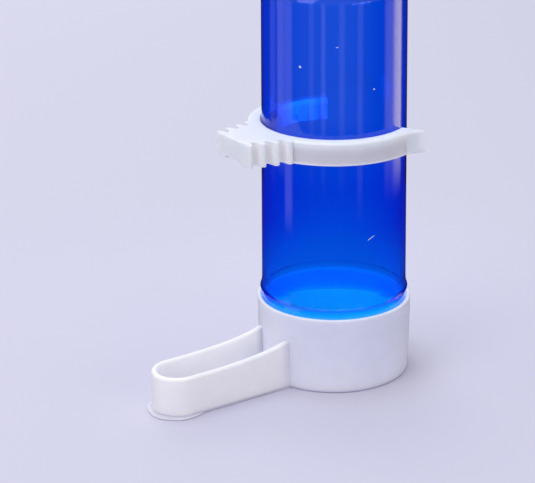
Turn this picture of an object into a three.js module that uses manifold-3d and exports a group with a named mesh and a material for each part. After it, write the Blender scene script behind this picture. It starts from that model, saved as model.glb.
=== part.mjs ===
// Bird water drinker: a clear blue reservoir tube plugged upside down into a white base with a drinking
// trough, and a white spring clip on the tube whose barbed tab is pushed between two cage bars.
// Millimetres, +Z up. The origin is on the cup's axis at the underside, and the trough points along -X.
import * as THREE from 'three';
import { mergeVertices } from 'three/addons/utils/BufferGeometryUtils.js';
import Module from 'manifold-3d';

// Reservoir tube, which the cup and the clip are fitted to
const TUBE_RADIUS = 20.3;
const TUBE_NARROWING = 0.5;
const TUBE_WALL = 1.6;
const TUBE_TOP = 113.5;
const TUBE_SHOULDER_ROUND = 5;

// Plug at the tube's mouth, and the flared collar above the cup's rim that keeps it from going in further
const PLUG_STEP = 0.15;
const PLUG_DEPTH = 6.4;
const PLUG_CLEARANCE = 0.25;
const PLUG_WALL = 1.2;
const MOUTH_ROUND = 0.4;
const COLLAR_OVERLAP = 0.15;
const COLLAR_GAP = 1.9;
const COLLAR_BAND = 0.3;
const COLLAR_CONE = 1.7;

// Cup of the base, a little narrower at the foot
const CUP_HEIGHT = 21.8;
const CUP_DRAFT = 0.4;
const CUP_WALL = 1;
const CUP_FLOOR = 1.6;
const CUP_RIM_ROUND = 0.45;
const CUP_FOOT_ROUND = 0.4;

// Drinking trough, moulded on the cup
const TROUGH_LENGTH = 37.8;
const TROUGH_WIDTH = 14.6;
const TROUGH_WALL = 1.7;
const TROUGH_FLOOR = 1.6;
const TROUGH_HEIGHT = 11.4;
const TROUGH_RIM_ROUND = 0.7;
const SWEEP_LENGTH = 28;
const SWEEP_BEND = 7.5;
const SWEEP_RISE = 2.7;
const SWEEP_OVERLAP = 2;

// Thin round lip under the trough's tip
const LIP_WIDTH = 1.8;
const LIP_RADIUS = 8.5;
const LIP_THICKNESS = 0.5;
const LIP_ROUND = 0.2;

// Slot that lets water out of the cup into the trough
const SLOT_WIDTH = 6.4;
const SLOT_TOP = 8;

// Spring clip round the tube
const CLIP_UNDERSIDE = 66.9;
const CLIP_HEIGHT = 6.4;
const CLIP_CLEARANCE = 0.15;
const CLIP_WALL = 3.4;
const CLIP_TOP_ROUND = 1.5;
const CLIP_EDGE_ROUND = 0.4;
const CLIP_HALF_WRAP = THREE.MathUtils.degToRad(120);
const CLIP_FLARE_ANGLE = THREE.MathUtils.degToRad(12);
const CLIP_FLARE = 3.3;

// Barbed tab of the clip, with the cage bars' notches between its barbs
const TAB_LENGTH = 9.35;
const BARB_PITCH = 3.6;
const BARB_LAND = 1.3;
const BARB_FLANK = 0.55;
const BARB_DEPTH = 2.4;
const BARB_WIDTH = 16.3;
const BARB_GROWTH = 2;
const TAB_GROOVE_WIDTH = 7.1;
const TAB_GROOVE_DEPTH = 0.7;
const TAB_GROOVE_LENGTH = 9;

// Fineness of round shapes, and how far cutting solids run past what they cut
const TURN_STEPS = 72;
const ARC_STEPS = 6;
const ROUND_STEPS = 3;
const CUT_MARGIN = 1;

// Largest share of a wall that the rounding of one edge takes, and how close points are merged
const ROUND_SHARE = 0.45;
const MERGE_DISTANCE = 1e-4;

// Radii, reaches and heights that follow from the fits
const plugRoot = TUBE_RADIUS + PLUG_STEP;
const cupRimBore = plugRoot + PLUG_CLEARANCE;
const cupRimRadius = cupRimBore + CUP_WALL;
const cupFootRadius = cupRimRadius - CUP_DRAFT;
const collarRadius = cupRimBore + COLLAR_OVERLAP;
const collarUnderside = CUP_HEIGHT + COLLAR_GAP;
const collarTop = collarUnderside + COLLAR_BAND + COLLAR_CONE;
const shoulderHeight = TUBE_TOP - TUBE_SHOULDER_ROUND;
const troughReach = cupFootRadius + TROUGH_LENGTH;
const clipBore = TUBE_RADIUS + CLIP_CLEARANCE;
const clipOutside = clipBore + CLIP_WALL;
const clipTop = CLIP_UNDERSIDE + CLIP_HEIGHT;
const tabReach = clipOutside + TAB_LENGTH;

const wasm = await Module();
wasm.setup();

// Turns a closed geometry into a solid that can be joined and cut.
function solid(geometry) {
  const bare = new THREE.BufferGeometry();
  bare.setAttribute('position', geometry.getAttribute('position'));
  if (geometry.index) bare.setIndex(geometry.index);
  const merged = mergeVertices(bare, MERGE_DISTANCE);
  const vertProperties = new Float32Array(merged.getAttribute('position').array);
  const triVerts = new Uint32Array(merged.index.array);
  const mesh = new wasm.Mesh({ numProp: 3, vertProperties, triVerts });
  mesh.merge();
  return new wasm.Manifold(mesh);
}

// Turns a solid back into a geometry.
function geometryOf(shape) {
  const { vertProperties, triVerts } = shape.getMesh();
  const geometry = new THREE.BufferGeometry();
  geometry.setAttribute('position', new THREE.BufferAttribute(new Float32Array(vertProperties), 3));
  geometry.setIndex(new THREE.BufferAttribute(new Uint32Array(triVerts), 1));
  geometry.computeVertexNormals();
  return geometry;
}

// Solid of revolution about Z from a profile of (radius, height) points.
function turned(profile) {
  const geometry = new THREE.LatheGeometry(profile, TURN_STEPS);
  geometry.rotateX(Math.PI / 2);
  return solid(geometry);
}

// Upright prism of a plan outline, with all its top and bottom edges rounded.
function prism(shape, bottom, height, round = 0) {
  const geometry = new THREE.ExtrudeGeometry(shape, {
    depth: height - 2 * round,
    curveSegments: 2 * ARC_STEPS,
    bevelEnabled: round > 0,
    bevelThickness: round,
    bevelSize: round,
    bevelOffset: -round,
    bevelSegments: ROUND_STEPS,
  });
  geometry.translate(0, 0, bottom + round);
  return solid(geometry);
}

// Box between two corners.
function block(low, high) {
  const size = new THREE.Vector3().subVectors(high, low);
  const centre = new THREE.Vector3().addVectors(low, high).multiplyScalar(0.5);
  const geometry = new THREE.BoxGeometry(size.x, size.y, size.z);
  geometry.translate(centre.x, centre.y, centre.z);
  return solid(geometry);
}

// Points of a circular arc in a turning profile.
function arc(centreRadius, centreHeight, radius, from, to) {
  const curve = new THREE.EllipseCurve(centreRadius, centreHeight, radius, radius, from, to, from > to);
  return curve.getPoints(ARC_STEPS);
}

// Plan outline with straight sides along X and a round end towards -X.
function roundEnded(reach, width, root) {
  const half = width / 2;
  const shape = new THREE.Shape();
  shape.moveTo(root, half);
  shape.lineTo(half - reach, half);
  shape.absarc(half - reach, 0, half, Math.PI / 2, 3 * Math.PI / 2, false);
  shape.lineTo(root, -half);
  shape.closePath();
  return shape;
}

// Cup inside radius at a height, from the drafted outside and the wall.
function cupBore(height) {
  const share = height / CUP_HEIGHT;
  return THREE.MathUtils.lerp(cupFootRadius, cupRimRadius, share) - CUP_WALL;
}

// Base: the cup and the trough as one moulding
function makeBase() {
  const quarter = Math.PI / 2;
  const rimRound = Math.min(CUP_RIM_ROUND, ROUND_SHARE * CUP_WALL);
  const cupOutside = turned([
    new THREE.Vector2(0, 0),
    ...arc(cupFootRadius - CUP_FOOT_ROUND, CUP_FOOT_ROUND, CUP_FOOT_ROUND, -quarter, 0),
    ...arc(cupRimRadius - rimRound, CUP_HEIGHT - rimRound, rimRound, 0, quarter),
    new THREE.Vector2(0, CUP_HEIGHT),
  ]);
  const cupInside = turned([
    new THREE.Vector2(0, CUP_FLOOR),
    new THREE.Vector2(cupBore(CUP_FLOOR), CUP_FLOOR),
    new THREE.Vector2(cupBore(CUP_HEIGHT + CUT_MARGIN), CUP_HEIGHT + CUT_MARGIN),
    new THREE.Vector2(0, CUP_HEIGHT + CUT_MARGIN),
  ]);

  const root = -cupFootRadius / 2;
  const outline = roundEnded(troughReach, TROUGH_WIDTH, root);
  const channelWidth = TROUGH_WIDTH - 2 * TROUGH_WALL;
  const channel = roundEnded(troughReach - TROUGH_WALL, channelWidth, root - TROUGH_WALL);
  const walls = roundEnded(troughReach, TROUGH_WIDTH, root);
  walls.holes.push(channel);
  const wallRound = Math.min(TROUGH_RIM_ROUND, ROUND_SHARE * TROUGH_WALL);
  const troughWalls = prism(walls, 0, TROUGH_HEIGHT, wallRound);
  const troughFloor = prism(outline, 0, TROUGH_FLOOR);

  const disc = new THREE.Shape();
  disc.absarc(LIP_RADIUS - troughReach - LIP_WIDTH, 0, LIP_RADIUS, 0, 2 * Math.PI, false);
  const lip = prism(disc, 0, LIP_THICKNESS, LIP_ROUND);

  const slot = block(
    new THREE.Vector3(-cupRimRadius - CUT_MARGIN, -SLOT_WIDTH / 2, CUP_FLOOR),
    new THREE.Vector3(-cupFootRadius / 2, SLOT_WIDTH / 2, SLOT_TOP),
  );

  let base = troughWalls.add(troughFloor).add(lip);
  for (const side of [-1, 1]) base = base.add(sweep(side, wallRound));
  return geometryOf(base.add(cupOutside).subtract(cupInside).subtract(slot));
}

// Stretch of trough wall whose rim sweeps up to the cup in a hollow curve
function sweep(side, round) {
  const start = -cupFootRadius - SWEEP_LENGTH;
  const end = -cupFootRadius + SWEEP_OVERLAP;
  const low = TROUGH_HEIGHT - SWEEP_OVERLAP;
  const shape = new THREE.Shape();
  shape.moveTo(start, low);
  shape.lineTo(end, low);
  shape.lineTo(end, TROUGH_HEIGHT + SWEEP_RISE);
  shape.lineTo(-cupFootRadius, TROUGH_HEIGHT + SWEEP_RISE);
  shape.quadraticCurveTo(-cupFootRadius - SWEEP_BEND, TROUGH_HEIGHT, start, TROUGH_HEIGHT);
  shape.closePath();
  const geometry = new THREE.ExtrudeGeometry(shape, {
    depth: TROUGH_WALL - 2 * round,
    curveSegments: ARC_STEPS,
    bevelThickness: round,
    bevelSize: round,
    bevelOffset: -round,
    bevelSegments: ROUND_STEPS,
  });
  geometry.rotateX(Math.PI / 2);
  const middle = side * (TROUGH_WIDTH - TROUGH_WALL) / 2;
  geometry.translate(0, middle + TROUGH_WALL / 2 - round, 0);
  return solid(geometry);
}

// Tube outside radius at a height above the collar.
function tubeRadius(height) {
  const share = (height - collarTop) / (shoulderHeight - collarTop);
  return TUBE_RADIUS - TUBE_NARROWING * share;
}

// Reservoir tube: closed at the top, open at the mouth that plugs into the cup
function makeTube() {
  const mouth = CUP_HEIGHT - PLUG_DEPTH;
  const plugRadius = cupBore(mouth) - PLUG_CLEARANCE;
  const mouthBore = plugRadius - PLUG_WALL;
  const mouthRound = Math.min(MOUTH_ROUND, ROUND_SHARE * PLUG_WALL);
  const topRadius = tubeRadius(shoulderHeight);
  const innerRound = TUBE_SHOULDER_ROUND - TUBE_WALL;
  const quarter = Math.PI / 2;
  return geometryOf(turned([
    new THREE.Vector2(0, TUBE_TOP - TUBE_WALL),
    ...arc(topRadius - TUBE_SHOULDER_ROUND, shoulderHeight, innerRound, quarter, 0),
    new THREE.Vector2(tubeRadius(collarTop) - TUBE_WALL, collarTop),
    new THREE.Vector2(plugRoot - PLUG_WALL, collarUnderside),
    new THREE.Vector2(mouthBore, mouth + mouthRound),
    new THREE.Vector2(mouthBore + mouthRound, mouth),
    new THREE.Vector2(plugRadius - mouthRound, mouth),
    new THREE.Vector2(plugRadius, mouth + mouthRound),
    new THREE.Vector2(plugRoot, collarUnderside),
    new THREE.Vector2(collarRadius, collarUnderside),
    new THREE.Vector2(collarRadius, collarUnderside + COLLAR_BAND),
    new THREE.Vector2(tubeRadius(collarTop), collarTop),
    ...arc(topRadius - TUBE_SHOULDER_ROUND, shoulderHeight, TUBE_SHOULDER_ROUND, 0, quarter),
    new THREE.Vector2(0, TUBE_TOP),
  ]));
}

// Cage clip: an open spring ring with flared arm ends and a barbed tab
function makeClip() {
  const quarter = Math.PI / 2;
  const topRound = Math.min(CLIP_TOP_ROUND, 2 * ROUND_SHARE * CLIP_WALL);
  const ring = turned([
    new THREE.Vector2(clipBore, CLIP_UNDERSIDE),
    ...arc(clipOutside - CLIP_EDGE_ROUND, CLIP_UNDERSIDE + CLIP_EDGE_ROUND, CLIP_EDGE_ROUND, -quarter, 0),
    ...arc(clipOutside - topRound, clipTop - topRound, topRound, 0, quarter),
    new THREE.Vector2(clipBore, clipTop),
    new THREE.Vector2(clipBore, CLIP_UNDERSIDE),
  ]);
  const boreCut = turned([
    new THREE.Vector2(0, CLIP_UNDERSIDE - CUT_MARGIN),
    new THREE.Vector2(clipBore, CLIP_UNDERSIDE - CUT_MARGIN),
    new THREE.Vector2(clipBore, clipTop + CUT_MARGIN),
    new THREE.Vector2(0, clipTop + CUT_MARGIN),
  ]);

  let clip = ring.add(prism(tabOutline(), CLIP_UNDERSIDE, CLIP_HEIGHT, CLIP_EDGE_ROUND));
  for (const side of [-1, 1]) {
    clip = clip.add(prism(flareOutline(side), CLIP_UNDERSIDE, CLIP_HEIGHT, CLIP_EDGE_ROUND));
  }
  const groove = block(
    new THREE.Vector3(-tabReach - CUT_MARGIN, -TAB_GROOVE_WIDTH / 2, CLIP_UNDERSIDE - CUT_MARGIN),
    new THREE.Vector3(TAB_GROOVE_LENGTH - tabReach, TAB_GROOVE_WIDTH / 2, CLIP_UNDERSIDE + TAB_GROOVE_DEPTH),
  );
  const mouth = prism(mouthOutline(), CLIP_UNDERSIDE - CUT_MARGIN, CLIP_HEIGHT + 2 * CUT_MARGIN);
  return geometryOf(clip.subtract(boreCut).subtract(groove).subtract(mouth));
}

// Tab plan: barbs with a flat crest, wider from the tip towards the ring, and notches between them
function tabOutline() {
  const edge = [];
  let crest = BARB_WIDTH / 2;
  for (let place = -tabReach; place + BARB_LAND + BARB_FLANK < -clipBore; place += BARB_PITCH) {
    if (edge.length > 0) edge.push(new THREE.Vector2(place - BARB_FLANK, edge.at(-1).y));
    edge.push(new THREE.Vector2(place, crest));
    edge.push(new THREE.Vector2(place + BARB_LAND, crest));
    edge.push(new THREE.Vector2(place + BARB_LAND + BARB_FLANK, crest - BARB_DEPTH));
    crest += BARB_GROWTH / 2;
  }
  edge.push(new THREE.Vector2(-clipBore, edge.at(-1).y));
  const mirrored = edge.map((point) => new THREE.Vector2(point.x, -point.y)).reverse();
  return new THREE.Shape([...edge, ...mirrored]);
}

// Arm end plan: the outside curves away from the ring to a square end
function flareOutline(side) {
  const shape = new THREE.Shape();
  const middle = clipBore + CLIP_WALL / 2;
  for (let step = 0; step <= ARC_STEPS; step += 1) {
    const share = step / ARC_STEPS;
    const angle = Math.PI - side * (CLIP_HALF_WRAP - CLIP_FLARE_ANGLE * (1 - share));
    const radius = clipOutside - CLIP_EDGE_ROUND + (CLIP_FLARE + CLIP_EDGE_ROUND) * share * share;
    const point = [radius * Math.cos(angle), radius * Math.sin(angle)];
    if (step === 0) shape.moveTo(...point);
    else shape.lineTo(...point);
  }
  for (let step = ARC_STEPS; step >= 0; step -= 1) {
    const share = step / ARC_STEPS;
    const angle = Math.PI - side * (CLIP_HALF_WRAP - CLIP_FLARE_ANGLE * (1 - share));
    shape.lineTo(middle * Math.cos(angle), middle * Math.sin(angle));
  }
  shape.closePath();
  return shape;
}

// Wedge that opens the ring opposite the tab
function mouthOutline() {
  const far = 2 * (clipOutside + CLIP_FLARE);
  const half = Math.PI - CLIP_HALF_WRAP;
  const shape = new THREE.Shape();
  shape.moveTo(0, 0);
  shape.lineTo(far * Math.cos(half), -far * Math.sin(half));
  shape.lineTo(far, 0);
  shape.lineTo(far * Math.cos(half), far * Math.sin(half));
  shape.closePath();
  return shape;
}

// The three mouldings and their plastics
const whitePlastic = { color: 0xdddbe8, roughness: 0.42, metalness: 0 };
const clearBlue = { color: 0x0a4fe6, roughness: 0.08, metalness: 0, transparent: true, opacity: 0.55 };

const drinker = new THREE.Group();
drinker.name = 'bird_water_drinker';
const pieces = [
  ['base', makeBase(), whitePlastic],
  ['reservoir_tube', makeTube(), clearBlue],
  ['cage_clip', makeClip(), whitePlastic],
];
for (const [name, geometry, look] of pieces) {
  const mesh = new THREE.Mesh(geometry, new THREE.MeshStandardMaterial(look));
  mesh.name = name;
  drinker.add(mesh);
}

export default drinker;
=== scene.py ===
import math

import bmesh
import bpy
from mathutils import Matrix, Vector


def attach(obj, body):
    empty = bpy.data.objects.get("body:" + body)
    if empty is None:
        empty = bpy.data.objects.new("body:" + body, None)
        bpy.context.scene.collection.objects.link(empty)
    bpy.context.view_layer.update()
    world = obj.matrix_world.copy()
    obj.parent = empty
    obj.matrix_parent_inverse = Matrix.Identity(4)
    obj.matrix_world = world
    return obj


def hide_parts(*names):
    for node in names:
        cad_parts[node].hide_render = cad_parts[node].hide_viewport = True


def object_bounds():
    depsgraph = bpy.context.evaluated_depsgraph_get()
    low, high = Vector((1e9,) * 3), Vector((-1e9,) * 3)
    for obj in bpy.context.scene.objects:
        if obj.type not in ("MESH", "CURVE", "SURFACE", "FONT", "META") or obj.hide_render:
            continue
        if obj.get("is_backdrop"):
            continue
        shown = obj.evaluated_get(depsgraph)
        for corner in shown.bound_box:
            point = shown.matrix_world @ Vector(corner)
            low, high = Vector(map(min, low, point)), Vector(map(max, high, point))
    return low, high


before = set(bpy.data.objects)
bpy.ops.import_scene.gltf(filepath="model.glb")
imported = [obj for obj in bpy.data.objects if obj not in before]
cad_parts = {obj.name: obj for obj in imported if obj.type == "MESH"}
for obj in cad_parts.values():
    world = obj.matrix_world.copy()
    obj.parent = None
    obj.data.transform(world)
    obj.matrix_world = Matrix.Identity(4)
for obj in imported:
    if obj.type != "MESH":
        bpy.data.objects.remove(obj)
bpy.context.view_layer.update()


# Base: round cup, drinking trough and the thin lip under its tip, one white polypropylene moulding.
# The cup is a turned shape, the trough a round-ended channel whose rim sweeps up to the cup, and a
# low slot through the cup's wall lets the water out. It stands on its flat underside.
mm = 0.001

# Room for rounding errors in tests on places, distance at which vertices become one, how far cutting
# solids run past what they cut, sides of large and small round shapes, and the angle of a sharp edge
hair = 0.01 * mm
merge_distance = 0.002 * mm
margin = 1 * mm
large_sides = 192
small_sides = 96
sharp_angle = math.radians(40)


def put_down():
    """Leaves edit mode and deselects everything."""
    if bpy.context.mode != "OBJECT":
        bpy.ops.object.mode_set(mode="OBJECT")
    bpy.ops.object.select_all(action="DESELECT")


def begin(name, add, stretch=(1, 1, 1), **sizes):
    """Adds a primitive under a name, with its place and size in its mesh, and opens it for editing."""
    put_down()
    add(**sizes)
    bpy.context.object.scale = stretch
    bpy.ops.object.transform_apply(location=True, rotation=True, scale=True)
    bpy.context.object.name = name
    bpy.ops.object.mode_set(mode="EDIT")
    return bpy.context.object


def disc(name, sides, radius, place):
    """Begins a shape with a flat round face."""
    return begin(name, bpy.ops.mesh.primitive_circle_add, vertices=sides, radius=radius,
                 fill_type="NGON", location=place)


def pick(kind, test):
    """Selects the vertices or edges of the edited mesh that pass a test on middle and part."""
    bpy.ops.mesh.select_mode(type=kind)
    bpy.ops.mesh.select_all(action="DESELECT")
    shape = bmesh.from_edit_mesh(bpy.context.object.data)
    shape.normal_update()
    for part in {"VERT": shape.verts, "EDGE": shape.edges}[kind]:
        corners = [part] if kind == "VERT" else part.verts
        middle = sum((corner.co for corner in corners), Vector()) / len(corners)
        part.select_set(bool(test(middle, part)))
    shape.select_flush_mode()
    bmesh.update_edit_mesh(bpy.context.object.data)


def push_out(step):
    """Extrudes the selected edges or faces by a step."""
    bpy.ops.mesh.extrude_region_move(TRANSFORM_OT_translate={"value": step})


def raise_up(height):
    """Extrudes the selected edges or faces upwards."""
    push_out((0, 0, height))


def widen(share, along=(1, 1, 0)):
    """Scales the selection about the upright axis."""
    factors = [share if axis else 1 for axis in along]
    bpy.ops.transform.resize(value=factors, center_override=(0, 0, 0))


def round_off(radius, steps=4):
    """Rounds the selected edges."""
    bpy.ops.mesh.bevel(offset=radius, segments=steps, profile=0.5, affect="EDGES", clamp_overlap=True)


def top_edge(part, looks_up=0.7, upright=0.3):
    """True for an edge between an upright wall and a face that looks up."""
    ups = [face.normal.z for face in part.link_faces]
    return len(ups) == 2 and max(ups) > looks_up and abs(min(ups)) < upright


def combine(piece, tool, operation):
    """Joins a second solid to the piece, or cuts the piece with it."""
    put_down()
    bpy.context.view_layer.objects.active = piece
    change = piece.modifiers.new("combine", "BOOLEAN")
    change.operation = operation
    change.solver = "EXACT"
    change.object = tool
    bpy.ops.object.modifier_apply(modifier=change.name)
    bpy.data.objects.remove(tool)


def close_up(piece):
    """Merges doubles, turns the faces outwards and shades the piece smooth between its sharp edges."""
    put_down()
    piece.select_set(True)
    bpy.context.view_layer.objects.active = piece
    bpy.ops.object.mode_set(mode="EDIT")
    bpy.ops.mesh.select_all(action="SELECT")
    bpy.ops.mesh.remove_doubles(threshold=merge_distance)
    bpy.ops.mesh.normals_make_consistent(inside=False)
    bpy.ops.object.mode_set(mode="OBJECT")
    bpy.ops.object.shade_smooth_by_angle(angle=sharp_angle)
    weigh = piece.modifiers.new("weigh", "WEIGHTED_NORMAL")
    weigh.keep_sharp = True
    bpy.ops.object.modifier_apply(modifier=weigh.name)


cup_height = 21.8 * mm
cup_foot = 21.3 * mm
cup_rim = 21.7 * mm
cup_wall = 1 * mm
cup_floor = 1.6 * mm
cup_rim_round = 0.45 * mm
cup_rim_inner_round = 0.35 * mm
cup_foot_round = 0.4 * mm
floor_round = 1 * mm
trough_reach = 59.1 * mm
trough_width = 14.6 * mm
trough_wall = 1.7 * mm
trough_height = 11.4 * mm
trough_rim_round = 0.8 * mm
sweep_length = 28 * mm
sweep_bend = 7.5 * mm
sweep_rise = 2.7 * mm
sweep_steps = 12
lip_radius = 8.5 * mm
lip_place = -52.4 * mm
lip_thickness = 0.5 * mm
lip_round = 0.25 * mm
slot_width = 6.4 * mm
slot_top = 8 * mm
slot_round = 1.2 * mm

base = disc("base_moulding", large_sides, cup_foot, (0, 0, 0))
raise_up(cup_height)
widen(cup_rim / cup_foot)
pick("EDGE", lambda middle, part: top_edge(part))
round_off(cup_rim_round)
pick("EDGE", lambda middle, part: middle.z < hair)
round_off(cup_foot_round)

trough_end = trough_width / 2
end_middle = trough_end - trough_reach
trough = disc("trough", small_sides, trough_end, (end_middle, 0, 0))
pick("VERT", lambda middle, part: middle.x > end_middle + hair)
bpy.ops.transform.translate(value=(-end_middle - cup_foot / 2, 0, 0))
bpy.ops.mesh.select_all(action="SELECT")
raise_up(trough_height)
bpy.ops.mesh.inset(thickness=trough_wall)
raise_up(cup_floor - trough_height)

# Sweep of the trough's rim: places along the trough from the cup outwards, and how far the rim rises there
shares = [step / sweep_steps for step in range(sweep_steps + 1)]
places = [-cup_foot - (2 * share * (1 - share) * sweep_bend + share ** 2 * sweep_length) for share in shares]
rises = [sweep_rise * (1 - share) ** 2 for share in shares]
rim_zone = 0.9 * trough_height
for place in places:
    bpy.ops.mesh.select_all(action="SELECT")
    bpy.ops.mesh.bisect(plane_co=(place, 0, 0), plane_no=(1, 0, 0))
for place, rise in zip(places, rises):
    pick("VERT", lambda middle, part: middle.z > rim_zone and abs(middle.x - place) < hair)
    bpy.ops.transform.translate(value=(0, 0, rise))
pick("VERT", lambda middle, part: middle.z > rim_zone and middle.x > hair - cup_foot)
bpy.ops.transform.translate(value=(0, 0, sweep_rise))
pick("EDGE", lambda middle, part: middle.z > rim_zone and top_edge(part))
round_off(trough_rim_round, steps=6)
pick("EDGE", lambda middle, part: abs(middle.z - cup_floor) < hair and top_edge(part))
round_off(floor_round)

# Uneven edge of the lip: directions from the tip in degrees, and how far it is pushed out there in mm
lip_pushes = ((-70, 0.35), (-25, 0.25), (12, -0.35), (40, -0.3), (65, -0.6))
lip_push_spread = 12
lip = disc("lip", small_sides, lip_radius, (lip_place, 0, 0))
for side, push in lip_pushes:
    pick("VERT", lambda middle, part:
         abs(math.degrees(math.atan2(middle.y, lip_place - middle.x)) - side) < lip_push_spread)
    bpy.ops.transform.translate(value=(-push * mm * math.cos(math.radians(side)),
                                       push * mm * math.sin(math.radians(side)), 0))
bpy.ops.mesh.select_all(action="SELECT")
bpy.ops.mesh.vertices_smooth(factor=0.5, repeat=12)
raise_up(lip_thickness)
pick("EDGE", lambda middle, part: top_edge(part))
round_off(lip_round)

foot_bore = cup_foot - cup_wall
rim_bore = cup_rim - cup_wall
bore = disc("bore", large_sides, foot_bore, (0, 0, cup_floor))
raise_up(cup_height - cup_floor + margin)
widen(rim_bore / foot_bore)
pick("EDGE", lambda middle, part: middle.z < cup_floor + hair)
round_off(floor_round)

slot_depth = cup_rim - cup_foot / 2 + margin
slot = begin("slot", bpy.ops.mesh.primitive_cube_add, size=1,
             stretch=(slot_depth, slot_width, slot_top - cup_floor),
             location=(-cup_foot / 2 - slot_depth / 2, 0, (slot_top + cup_floor) / 2))
pick("EDGE", lambda middle, part: abs(middle.y) > slot_width / 2 - hair and middle.z > slot_top - hair)
round_off(slot_round)

combine(trough, lip, "UNION")
combine(base, trough, "UNION")
combine(base, bore, "DIFFERENCE")
combine(base, slot, "DIFFERENCE")
bpy.ops.object.mode_set(mode="EDIT")
pick("EDGE", lambda middle, part: middle.z > cup_height - hair and middle.to_2d().length < rim_bore + hair)
round_off(cup_rim_inner_round)
close_up(base)


class Shade:
    """An output of a shader node. Sums and products of it add Math nodes, and node() adds any other."""

    def __init__(self, tree, socket=None):
        self.tree = tree
        self.socket = socket

    def node(self, kind, settings=None, sockets=None, output=0):
        """Adds a node with its settings, and joins its sockets to outputs or gives them values."""
        made = self.tree.nodes.new(kind)
        for name, value in (settings or {}).items():
            setattr(made, name, value)
        for name, value in (sockets or {}).items():
            if isinstance(value, Shade):
                self.tree.links.new(value.socket, made.inputs[name])
            else:
                made.inputs[name].default_value = value
        return Shade(self.tree, made.outputs[output]) if made.outputs else None

    def math(self, operation, first, second):
        """Adds a Math node."""
        return self.node("ShaderNodeMath", {"operation": operation}, {0: first, 1: second})

    def unsigned(self):
        """The value without its sign."""
        return self.node("ShaderNodeMath", {"operation": "ABSOLUTE"}, {0: self})

    def length(self):
        """The length of a vector."""
        return self.node("ShaderNodeVectorMath", {"operation": "LENGTH"}, {0: self}, output="Value")

    def axis(self, name):
        """One coordinate of a place."""
        return self.node("ShaderNodeSeparateXYZ", sockets={"Vector": self}, output=name)

    def ramp(self, start, end):
        """Eases from 0 to 1 while the value goes from a start to an end."""
        return self.node("ShaderNodeMapRange", {"interpolation_type": "SMOOTHSTEP"},
                         {"Value": self, "From Min": start, "From Max": end})

    def mix(self, first, second):
        """A colour between two, with the value as the share of the second."""
        return self.node("ShaderNodeMix", {"data_type": "RGBA"},
                         {"Factor": self, "A": first, "B": second}, output=2)

    def __add__(self, other):
        return self.math("ADD", self, other)

    def __sub__(self, other):
        return self.math("SUBTRACT", self, other)

    def __rsub__(self, other):
        return self.math("SUBTRACT", other, self)

    def __mul__(self, other):
        return self.math("MULTIPLY", self, other)

    def __gt__(self, other):
        return self.math("GREATER_THAN", self, other)

    __radd__ = __add__
    __rmul__ = __mul__


def new_material(name):
    """A new material with an empty node tree."""
    material = bpy.data.materials.new(name)
    material.use_nodes = True
    material.node_tree.nodes.clear()
    return material, Shade(material.node_tree)


def white_plastic(name, clear, shaded, milkiness, patches):
    """Milky white polypropylene: light goes into it, and it has flow marks and a fine moulded grain."""
    material, shade = new_material(name)
    place = shade.node("ShaderNodeTexCoord", output="Object")
    cloud = shade.node("ShaderNodeTexNoise", sockets={"Vector": place, "Scale": 55, "Detail": 3})
    flow = shade.node("ShaderNodeTexNoise", sockets={"Vector": place, "Scale": 260, "Detail": 4})
    grain = shade.node("ShaderNodeTexNoise", sockets={"Vector": place, "Scale": 5200, "Detail": 2})
    tone = cloud.mix(shaded, clear)
    for where, colour in patches:
        tone = where(place).mix(tone, colour)
    marks = shade.node("ShaderNodeMapRange", sockets={
        "Value": flow, "From Min": 0.35, "From Max": 0.7, "To Min": 0.97, "To Max": 1.0})
    colour = shade.node("ShaderNodeVectorMath", {"operation": "SCALE"}, {0: tone, "Scale": marks})
    bump = shade.node("ShaderNodeBump", sockets={
        "Height": flow * 0.6 + grain * 0.4, "Strength": 0.12, "Distance": 0.06 * mm})
    surface = shade.node("ShaderNodeBsdfPrincipled", sockets={
        "Base Color": colour, "Roughness": 0.36 + flow * 0.12, "IOR": 1.49, "Normal": bump,
        "Subsurface Weight": 0.9, "Subsurface Radius": (1, 1, 1), "Subsurface Scale": milkiness})
    shade.node("ShaderNodeOutputMaterial", sockets={"Surface": surface})
    return material


def cup_wall_painted_shade(place):
    """Painted shade on the cup's thin wall, for the blue tube behind it: a little deeper than the trough,
    most of all near its rim.
    """
    trough_side, cup_side = -23.5 * mm, -20.5 * mm
    foot_share, full_height = 0.65, 14 * mm
    by_height = foot_share + (1 - foot_share) * place.axis("Z").ramp(0, full_height)
    return place.axis("X").ramp(trough_side, cup_side) * by_height


def low_painted_shade(place):
    """Painted shade on the lip under the trough and on the lowest millimetre of the base, where it meets the
    floor.
    """
    above, within = 1 * mm, 0.4 * mm
    return place.axis("Z").ramp(above, within)


def channel_inside(place):
    """The inside of the trough, where the light that goes to and fro between the walls is cooler."""
    along = place.axis("X")
    across = place.axis("Y")
    past_end = place.math("MINIMUM", along - end_middle, 0)
    away = place.math("POWER", past_end * past_end + across * across, 0.5)
    half = trough_end - trough_wall
    in_wall, on_wall = half + 0.6 * mm, half + 0.1 * mm
    in_floor, on_floor = 0.8 * mm, 1.4 * mm
    at_cup, off_cup = -22 * mm, -23.5 * mm
    inside = away.ramp(in_wall, on_wall) * place.axis("Z").ramp(in_floor, on_floor)
    return inside * along.ramp(at_cup, off_cup)


# The base's patches: painted shade on the cup's wall, painted shade on its lowest millimetre, and painted
# cooler light inside the trough.
base.data.materials.append(white_plastic(
    "base_white", clear=(0.94, 0.925, 0.97, 1), shaded=(0.92, 0.905, 0.955, 1), milkiness=1.4 * mm,
    patches=[(cup_wall_painted_shade, (0.775, 0.775, 0.845, 1)),
             (low_painted_shade, (0.7, 0.69, 0.85, 1)),
             (channel_inside, (0.945, 0.93, 1, 1))]))
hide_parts("base")
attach(base, "base")


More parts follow.
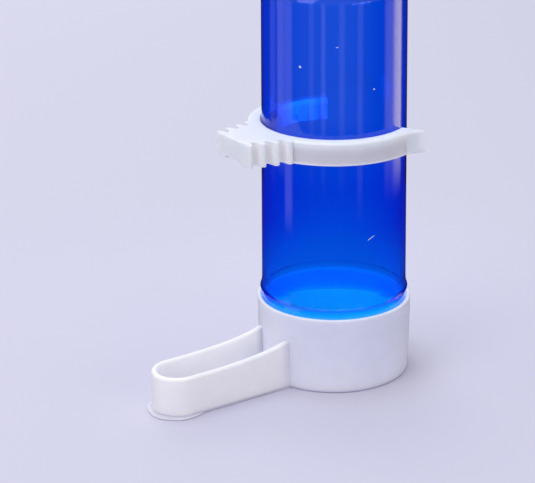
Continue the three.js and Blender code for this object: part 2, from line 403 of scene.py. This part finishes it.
# Reservoir tube: clear deep-blue polystyrene, moulded in one with its closed round-shouldered top.
# It plugs mouth down into the cup, and flares to a sharp-edged collar just above the cup's rim.
tube_top = 113.5 * mm
tube_wall = 1.6 * mm
tube_shoulder = 5 * mm
tube_low = 20.3 * mm
tube_high = 19.8 * mm
mouth = 15.4 * mm
plug_clearance = 0.25 * mm
plug_mouth = cup_foot + (cup_rim - cup_foot) * mouth / cup_height - cup_wall - plug_clearance
plug_root = cup_rim - cup_wall - plug_clearance
plug_wall = 1.2 * mm
mouth_taper = 2.5 * mm
collar_edge = 23.6 * mm
collar_top = 27.2 * mm

# Outside of the collar from its sharp edge up, as radius and height in mm, and how much closer its inside is
collar_band = [(20.82, 24.14), (20.84, 24.24), (20.81, 24.36)]
collar_cone = [(20.62, 24.66), (20.54, 25), (20.46, 25.5), (20.39, 26), (20.34, 26.5), (20.3, 27.2)]
collar_inset = 0.05

# Thinned edge of the mouth from outside to inside, as steps inwards and upwards in mm
mouth_edge = [(0, 0.1), (0.1, 0), (0.4, 0), (0.6, 0.3)]

# The wall is thin low down, where the blue is palest, and thickest below the clip: heights in mm and walls
low_wall = 1.25 * mm
mid_wall = 1.95 * mm
walls = [(32, low_wall), (46, mid_wall), (58, mid_wall), (68, tube_wall)]

shoulder_radius = tube_high - tube_shoulder
shoulder_height = tube_top - tube_shoulder
inner_round = tube_shoulder - tube_wall
draft = (tube_low - tube_high) / (shoulder_height - collar_top)
turns = [math.radians(turn) for turn in range(0, 91, 9)]

# Profile from the middle of the top down the outside, round the mouth and up the inside
profile = [(shoulder_radius + tube_shoulder * math.sin(turn),
            shoulder_height + tube_shoulder * math.cos(turn)) for turn in turns]
profile += [(radius * mm, height * mm) for radius, height in reversed(collar_band + collar_cone)]
profile += [(plug_root, collar_edge)]
profile += [(plug_mouth - inwards * mm, mouth + upwards * mm) for inwards, upwards in mouth_edge]
profile += [(plug_mouth - plug_wall, mouth + mouth_taper), (plug_root - plug_wall, collar_edge)]
profile += [((radius - collar_inset) * mm - low_wall, height * mm) for radius, height in collar_cone]
profile += [(tube_low - draft * (height * mm - collar_top) - wall, height * mm) for height, wall in walls]
profile += [(shoulder_radius + inner_round * math.cos(turn),
             shoulder_height + inner_round * math.sin(turn)) for turn in turns]

first_radius, first_height = profile[0]
tube = disc("reservoir_tube_clear", large_sides, first_radius, (0, 0, first_height))
for (radius, height), (next_radius, next_height) in zip(profile, profile[1:]):
    raise_up(next_height - height)
    widen(next_radius / radius)
close_up(tube)

blue, shade = new_material("clear_blue")
place = shade.node("ShaderNodeTexCoord", output="Object")
haze = shade.node("ShaderNodeTexNoise", sockets={"Vector": place, "Scale": 90, "Detail": 4})
ripple = shade.node("ShaderNodeTexNoise", sockets={"Vector": place, "Scale": 30, "Detail": 1})
bump = shade.node("ShaderNodeBump", sockets={"Height": ripple, "Strength": 0.05, "Distance": 0.4 * mm})

# A painted glow: the plug emits faintly, in place of the light that the white cup sends up it.
glow_top, glow_full = 23.4 * mm, 22.4 * mm
plug_painted_glow = place.axis("Z").ramp(glow_top, glow_full).mix((0, 0, 0, 1), (0, 0.5, 1, 1))
clear = shade.node("ShaderNodeBsdfPrincipled", sockets={
    "Base Color": (1, 1, 1, 1), "Roughness": 0.02 + haze * 0.03, "IOR": 1.5, "Transmission Weight": 1,
    "Normal": bump, "Emission Color": plug_painted_glow, "Emission Strength": 0.13})

# Specks of dust of many sizes, and four larger marks: middle in mm, turn in degrees and half size in mm
dust_scale = 160
dust_largest, dust_cut = 0.035, 0.007
dust_cover, mark_cover = 0.5, 0.9
wear_marks = [((-17.63, -9.23, 92.57), (0, 35, -62), (0.38, 0.3, 0.26)),
              ((-1.95, -20.09, 44.49), (0, -28, 0), (1.3, 0.3, 0.1)),
              ((-10.9, -16.6, 98.4), (0, 4, 33), (0.9, 0.3, 0.12)),
              ((-1.2, -19.9, 86.3), (0, 0, 0), (0.25, 0.3, 0.25))]
dust = shade.node("ShaderNodeTexVoronoi", sockets={"Vector": place, "Scale": dust_scale})
chance = shade.node("ShaderNodeTexVoronoi", sockets={"Vector": place, "Scale": dust_scale}, output="Color")
worn = dust_cover * (chance * dust_largest - dust_cut > dust)
for middle, turn, half in wear_marks:
    near = shade.node("ShaderNodeMapping", {"vector_type": "TEXTURE"}, {
        "Vector": place, "Location": [part * mm for part in middle],
        "Rotation": [math.radians(part) for part in turn], "Scale": [part * mm for part in half]})
    worn = shade.math("MAXIMUM", worn, mark_cover * (1 - (near.length() > 1)))
speck = shade.node("ShaderNodeBsdfPrincipled", sockets={
    "Base Color": (0.82, 0.86, 0.95, 1), "Roughness": 0.6})
surface = shade.node("ShaderNodeMixShader", sockets={0: worn, 1: clear, 2: speck})
depth = shade.node("ShaderNodeVolumeAbsorption", sockets={
    "Color": (0.001, 0.8436, 0.9884, 1), "Density": 4500})
shade.node("ShaderNodeOutputMaterial", sockets={"Surface": surface, "Volume": depth})
tube.data.materials.append(blue)
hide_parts("reservoir_tube")
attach(tube, "tube")
tube.visible_shadow = False


# Cage clip: an open spring ring of white polypropylene round the tube, with flared arm ends behind.
# Its flat barbed tab points along the trough and wedges between two bars of the cage.
clip_low = 66.9 * mm
clip_height = 6.4 * mm
clip_top = clip_low + clip_height
clip_bore = 20.45 * mm
clip_outside = 23.84 * mm
clip_flare = 3.3 * mm
clip_top_round = 0.8 * mm
clip_low_round = 0.4 * mm
tab_root = -17 * mm
tab_round = 0.6 * mm
barb_count = 4
barb_root = -21.1 * mm
barb_half = 11.15 * mm
barb_growth = 1 * mm
barb_pitch = 3.6 * mm
barb_land = 1.3 * mm
barb_flank = 0.55 * mm
barb_depth = 2.4 * mm
groove_length = 9 * mm
groove_width = 7.1 * mm
groove_depth = 0.7 * mm

# Sides of a full ring and the degrees of one, degrees from the middle of the opening to an arm's end, and
# degrees over which the arm flares
clip_sides = 180
clip_step = 360 // clip_sides
opening_half = 60
flare_angle = 12

# Hollow round the ring's outside: its depth, the share of the height it takes, and where it is cut
side_hollow = 0.8 * mm
hollow_share = 0.9
hollow_levels = (0.15, 0.3, 0.45, 0.6, 0.75)


def turn_of(place):
    """Degrees from the middle of the clip's opening."""
    return math.degrees(abs(math.atan2(place.y, place.x)))


clip = begin("cage_clip_moulding", bpy.ops.mesh.primitive_circle_add, vertices=clip_sides, radius=clip_bore,
             location=(0, 0, clip_low))
pick("VERT", lambda middle, part: turn_of(middle) < opening_half - clip_step / 2)
bpy.ops.mesh.delete(type="VERT")
bpy.ops.mesh.select_all(action="SELECT")
push_out((0, 0, 0))
widen(clip_outside / clip_bore)
flare_root = opening_half + flare_angle
for turn in range(opening_half, flare_root, clip_step):
    pick("VERT", lambda middle, part: middle.to_2d().length > clip_outside - hair
         and abs(turn_of(middle) - turn) < clip_step / 4)
    widen(1 + clip_flare / clip_outside * ((flare_root - turn) / flare_angle) ** 2)
bpy.ops.mesh.select_all(action="SELECT")
raise_up(clip_height)
bpy.ops.mesh.select_all(action="SELECT")
bpy.ops.mesh.normals_make_consistent(inside=False)

flare_start = clip_outside + 0.3 * mm
for share in hollow_levels:
    level = clip_low + share * clip_height
    bpy.ops.mesh.select_all(action="SELECT")
    bpy.ops.mesh.bisect(plane_co=(0, 0, level), plane_no=(0, 0, 1))
    pick("VERT", lambda middle, part: abs(middle.z - level) < hair
         and flare_start > middle.to_2d().length > clip_outside - hair)
    widen(1 - side_hollow / clip_outside * math.sin(math.pi * share / hollow_share))

side_zone = clip_outside - 0.5 * mm
looks_down = -0.5
pick("EDGE", lambda middle, part: top_edge(part) and middle.to_2d().length > side_zone)
round_off(clip_top_round, steps=5)
pick("EDGE", lambda middle, part: middle.z < clip_low + hair and middle.to_2d().length > side_zone
     and any(face.normal.z > looks_down for face in part.link_faces))
round_off(clip_low_round, steps=3)

# Plan of the tab as places along it and half widths, from inside the ring to the tip, where no notch follows
root_end = barb_root + barb_flank
root_half = barb_half - barb_depth
outline = [(tab_root, root_half), (root_end, root_half)]
for barb in range(barb_count):
    crest = barb_root - barb * barb_pitch
    half = barb_half - barb * barb_growth
    notch = half - barb_growth - barb_depth
    outline += [(crest, half), (crest - barb_land, half),
                (crest - barb_land - barb_flank, notch), (crest - barb_pitch + barb_flank, notch)]
outline = outline[:-2]
tab_tip = outline[-1][0]

tab = begin("tab", bpy.ops.mesh.primitive_plane_add, size=1,
            stretch=(tab_root - root_end, 2 * root_half, 1),
            location=((tab_root + root_end) / 2, 0, clip_low))
for (reach, half), (next_reach, next_half) in zip(outline[1:], outline[2:]):
    pick("EDGE", lambda middle, part: middle.x < reach + hair)
    push_out((next_reach - reach, 0, 0))
    widen(next_half / half, (0, 1, 0))
bpy.ops.mesh.select_all(action="SELECT")
raise_up(clip_height)
bpy.ops.mesh.select_all(action="SELECT")
bpy.ops.mesh.normals_make_consistent(inside=False)
half_way = clip_low + clip_height / 2
pick("EDGE", lambda middle, part: middle.x < tab_root - margin and abs(middle.z - half_way) < hair)
round_off(tab_round)
pick("EDGE", lambda middle, part: top_edge(part))
round_off(tab_round)

groove = begin("groove", bpy.ops.mesh.primitive_cube_add, size=1,
               stretch=(groove_length + margin, groove_width, 2 * groove_depth),
               location=(tab_tip + (groove_length - margin) / 2, 0, clip_low))
hollow = disc("hollow", clip_sides, clip_bore, (0, 0, clip_low - margin))
raise_up(clip_height + 2 * margin)
combine(tab, groove, "DIFFERENCE")
combine(tab, hollow, "DIFFERENCE")
combine(clip, tab, "UNION")
close_up(clip)


def ring_painted_shade(place):
    """Painted shade in the hollow round the outside of the ring."""
    flat = place.node("ShaderNodeVectorMath", {"operation": "MULTIPLY"}, {0: place, 1: (1, 1, 0)})
    at_edge, in_hollow = clip_outside, clip_outside - 0.3 * mm
    above, below = clip_top - 1.2 * mm, clip_top - 2.2 * mm
    return flat.length().ramp(at_edge, in_hollow) * place.axis("Z").ramp(above, below)


def between_barbs(place):
    """The notches of the tab, which the light that goes to and fro between the barbs makes paler."""
    along = place.axis("X")
    past_root = along - (barb_root - barb_land / 2)
    crest = past_root * (barb_growth / barb_pitch) + barb_half
    depth = crest - place.axis("Y").unsigned()
    shallow, deep = 0.2 * mm, 1 * mm
    past_tip, behind_tip = tab_tip + 0.2 * mm, tab_tip + 0.7 * mm
    at_ring, off_ring = barb_root + 0.5 * mm, barb_root + 0.1 * mm
    above, below = clip_top - 0.4 * mm, clip_top - 1 * mm
    tab_part = along.ramp(past_tip, behind_tip) * along.ramp(at_ring, off_ring)
    return depth.ramp(shallow, deep) * tab_part * place.axis("Z").ramp(above, below)


# The clip's patches: painted shade in the ring's hollow, and painted paler light in the notches between the
# barbs.
clip.data.materials.append(white_plastic(
    "clip_white", clear=(0.81, 0.84, 0.88, 1), shaded=(0.79, 0.81, 0.86, 1), milkiness=1.6 * mm,
    patches=[(ring_painted_shade, (0.68, 0.675, 0.75, 1)),
             (between_barbs, (0.97, 0.95, 0.95, 1))]))
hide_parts("cage_clip")
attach(clip, "clip")


# Studio: a plain pale floor in a pale room, one broad soft light overhead and weaker ones from the left,
# the front and behind.
put_down()
bpy.ops.mesh.primitive_plane_add(size=6, location=(0, 0, -0.05 * mm))
floor = bpy.context.object
floor.name = "floor"
pale, shade = new_material("pale_floor")
surface = shade.node("ShaderNodeBsdfPrincipled", sockets={
    "Base Color": (0.62, 0.61, 0.73, 1), "Roughness": 0.7, "Specular IOR Level": 0})
shade.node("ShaderNodeOutputMaterial", sockets={"Surface": surface})
floor.data.materials.append(pale)
floor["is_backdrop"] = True


def soft_light(name, place, aim, size, power, colour):
    """An oblong area lamp at a place, turned towards a point."""
    bpy.ops.object.light_add(type="AREA", location=place)
    lamp = bpy.context.object
    lamp.name = name
    lamp.data.shape = "RECTANGLE"
    lamp.data.size, lamp.data.size_y = size
    lamp.data.energy = power
    lamp.data.color = colour
    lamp.rotation_euler = (Vector(aim) - Vector(place)).to_track_quat("-Z", "Y").to_euler()
    return lamp


soft_light("overhead", (-0.1, 0.15, 1.1), (0, 0, 0.05), (1.0, 1.0), 7.0, (0.89, 0.93, 1))
soft_light("left", (-0.9, -0.1, 0.5), (0, 0, 0.06), (0.5, 0.8), 2.4, (1, 0.97, 0.98))
soft_light("front", (0.15, -1.0, 0.3), (-0.03, 0, 0.01), (0.6, 0.3), 1.4, (1, 0.97, 0.98))
soft_light("behind", (0.3, 0.9, 0.5), (0, 0, 0.07), (0.6, 0.6), 2.2, (1, 1, 1))


# Two small unseen lamps inside the clear tube, one onto the far side of the cup and one onto the far arm of
# the clip, so that both show as brightly through the blue as white plastic does in daylight.
into_cup = soft_light("into_cup", (-4 * mm, -5.5 * mm, 24 * mm), (11.6 * mm, 16.3 * mm, 10 * mm),
                      (20 * mm, 6 * mm), 0.0024, (1, 1, 1))
far_arm = soft_light("onto_far_arm", (4.5 * mm, 11 * mm, 72.5 * mm), (8.4 * mm, 20.5 * mm, 70.1 * mm),
                     (12 * mm, 4 * mm), 0.0075, (1, 1, 1))
for lamp in (into_cup, far_arm):
    for kind in ("camera", "glossy", "transmission"):
        setattr(lamp, "visible_" + kind, False)


# Dark cards with pale upright strips round the drinker, which only show as reflections in its gloss.
# Each strip has its middle and width in degrees, its level, and the heights in mm between which it fades in.
# Its sides fade between two shares of its width, and the light turns warm between two angles.
card_radius = 0.13
card_height = 0.14
card_sides = 180
card_turn = math.radians(125.5)
card_level = 0.02
strip_outer, strip_inner = 0.75, 0.25
strips = [(-105, 14, 0.35, 14, 48), (-86, 15, 1.0, 22, 38), (-71, 13, 0.9, 2, 16), (-33, 7, 0.4, 15, 60),
          (-15.5, 6, 0.7, 15, 60), (-10, 110, 0.21, 36, 48), (11, 8, 0.5, 15, 60), (38, 8, 0.5, 5, 40),
          (90, 18, 1.0, 12, 40), (111, 22, 3.3, 12, 40)]
cool_side, warm_side = 60, 75

cards = disc("cards", card_sides, card_radius, (0, 0, 0.3 * mm))
raise_up(card_height)
bpy.ops.mesh.delete(type="ONLY_FACE")
put_down()
card_look, shade = new_material("card_strips")
place = shade.node("ShaderNodeTexCoord", output="Object")
turned = shade.node("ShaderNodeVectorRotate", {"rotation_type": "Z_AXIS"},
                    {"Vector": place, "Angle": card_turn})
angle = shade.math("ARCTAN2", turned.axis("Y"), turned.axis("X")) * math.degrees(1)
height = turned.axis("Z")
total = card_level
for middle, width, level, low, high in strips:
    strip = (angle - middle).unsigned().ramp(width * strip_outer, width * strip_inner)
    total = total + level * (strip * height.ramp(low * mm, high * mm))
tint = angle.ramp(cool_side, warm_side).mix((1, 0.93, 0.95, 1), (1, 0.85, 0.28, 1))
glow = shade.node("ShaderNodeEmission", sockets={"Color": tint, "Strength": total})
shade.node("ShaderNodeOutputMaterial", sockets={"Surface": glow})
cards.data.materials.append(card_look)
for kind in ("camera", "diffuse", "transmission", "volume_scatter", "shadow"):
    setattr(cards, "visible_" + kind, False)
cards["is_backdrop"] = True


# Room: white where it is seen, itself or through the tube, and dimmer as a light.
room_light = 0.48
world = bpy.data.worlds.new("room")
bpy.context.scene.world = world
world.use_nodes = True
world.node_tree.nodes.clear()
shade = Shade(world.node_tree)
seen = shade.node("ShaderNodeLightPath", output="Is Camera Ray")
through = shade.node("ShaderNodeLightPath", output="Is Transmission Ray")
level = room_light + (1 - room_light) * shade.math("MAXIMUM", seen, through)
room = shade.node("ShaderNodeBackground", sockets={"Color": (1, 1, 1, 1), "Strength": level})
shade.node("ShaderNodeOutputWorld", sockets={"Surface": room})


# Camera: from the left and a little above, with the top of the tube just out of the picture.
bpy.ops.object.camera_add(location=(-0.29035, -0.40706, 0.22461),
                          rotation=(math.radians(70.978), 0, math.radians(-35.2135)))
camera = bpy.context.object
camera.data.sensor_width = 36
camera.data.lens = 127.6
camera.data.shift_x = -0.1075
camera.data.shift_y = -0.0963
bpy.context.scene.camera = camera
bpy.context.scene.view_settings.view_transform = "Standard"

low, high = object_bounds()
